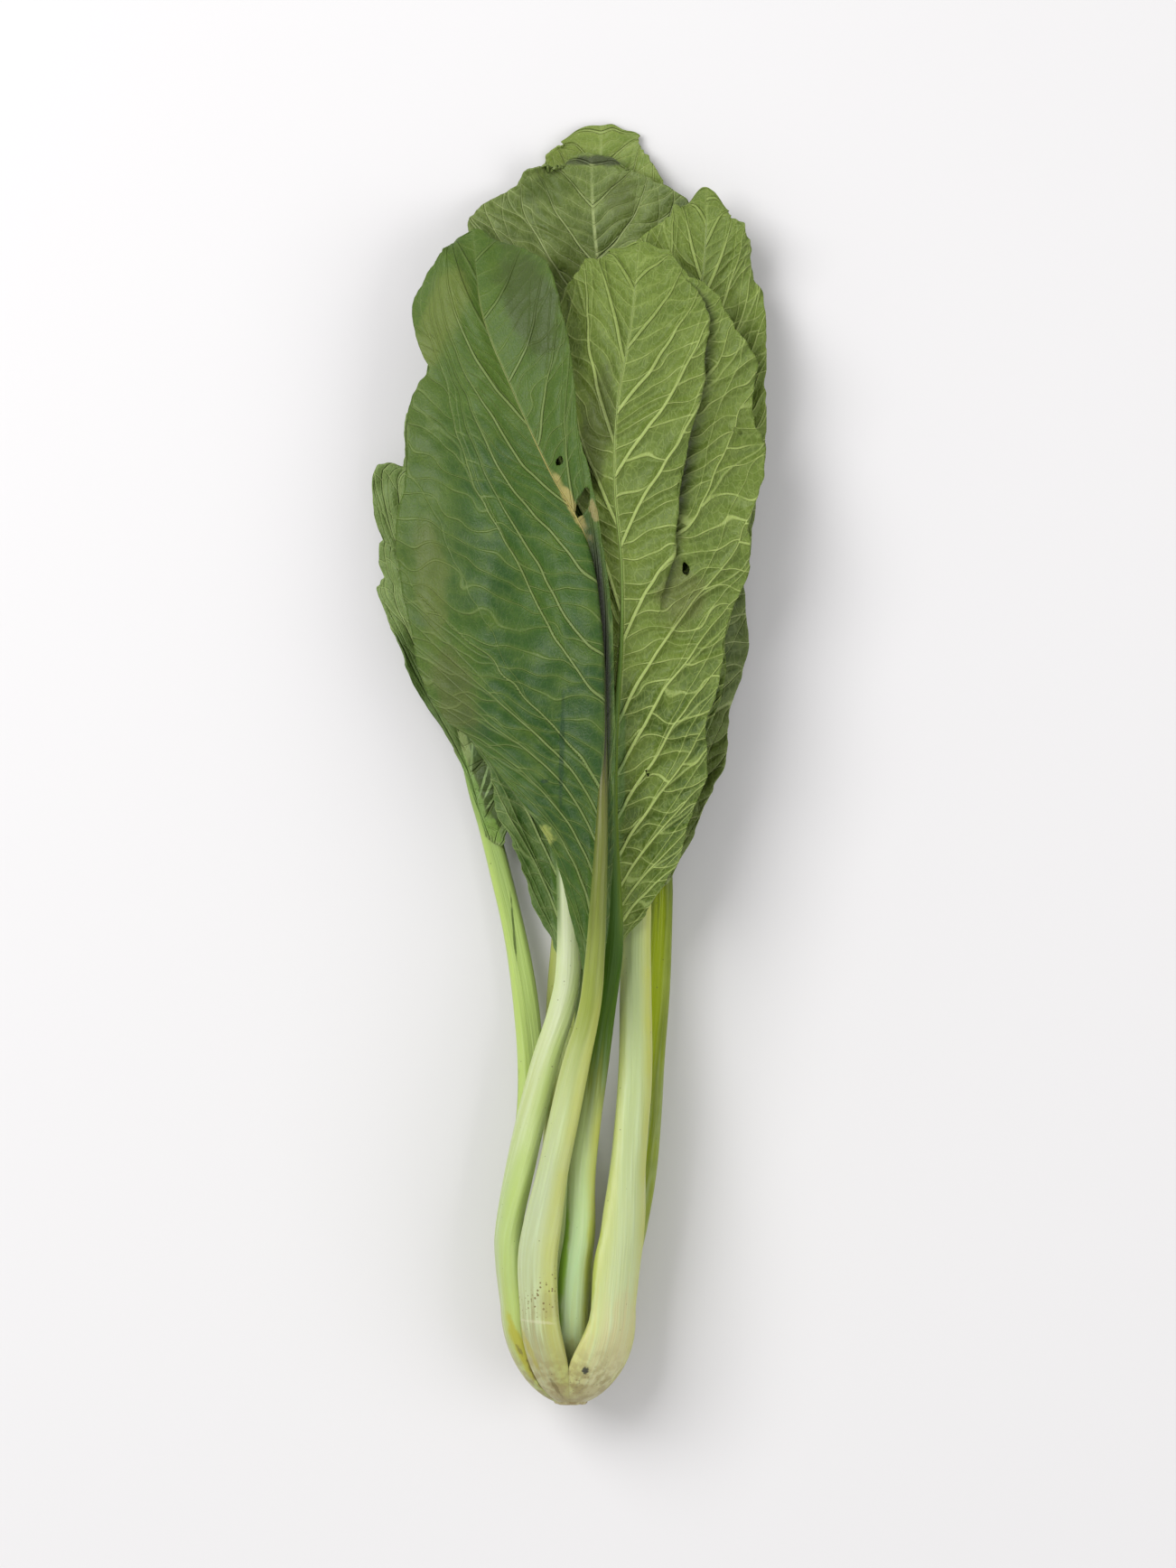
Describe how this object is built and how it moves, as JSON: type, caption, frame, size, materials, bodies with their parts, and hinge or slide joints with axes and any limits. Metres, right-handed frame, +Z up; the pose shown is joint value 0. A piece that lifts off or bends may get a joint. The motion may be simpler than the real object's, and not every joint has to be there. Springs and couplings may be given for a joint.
{
  "type": "choy sum",
  "caption": "Head of choy sum lying on its back: pale stalks clasp a short cut crown at the base and carry broad, waved green blades",
  "frame": {"origin": "centre of the head's plan, on the surface that it lies on", "axes": "+Y along the head from its cut base to its leaf tips, +Z up, +X to the right of a viewer who looks down on it with the tips away from them"},
  "size_m": [0.1166, 0.378, 0.0474],
  "materials": {
    "stalk": "satin, pale green plant tissue",
    "blade": "satin, green leaf",
    "crown": "matt, pale cut stem"
  },
  "bodies": {
    "root": {"crown": "crown", "leaf_back_stalk": "stalk", "leaf_back_blade": "blade", "leaf_back_right_stalk": "stalk", "leaf_back_right_blade": "blade", "leaf_far_left_stalk": "stalk", "leaf_far_left_blade": "blade", "leaf_heart_stalk": "stalk", "leaf_heart_blade": "blade", "leaf_left_stalk": "stalk", "leaf_left_blade": "blade", "leaf_right_stalk": "stalk", "leaf_right_blade": "blade", "leaf_front_right_stalk": "stalk", "leaf_front_right_blade": "blade", "leaf_front_left_stalk": "stalk", "leaf_front_left_blade": "blade"}
  },
  "joints": []
}
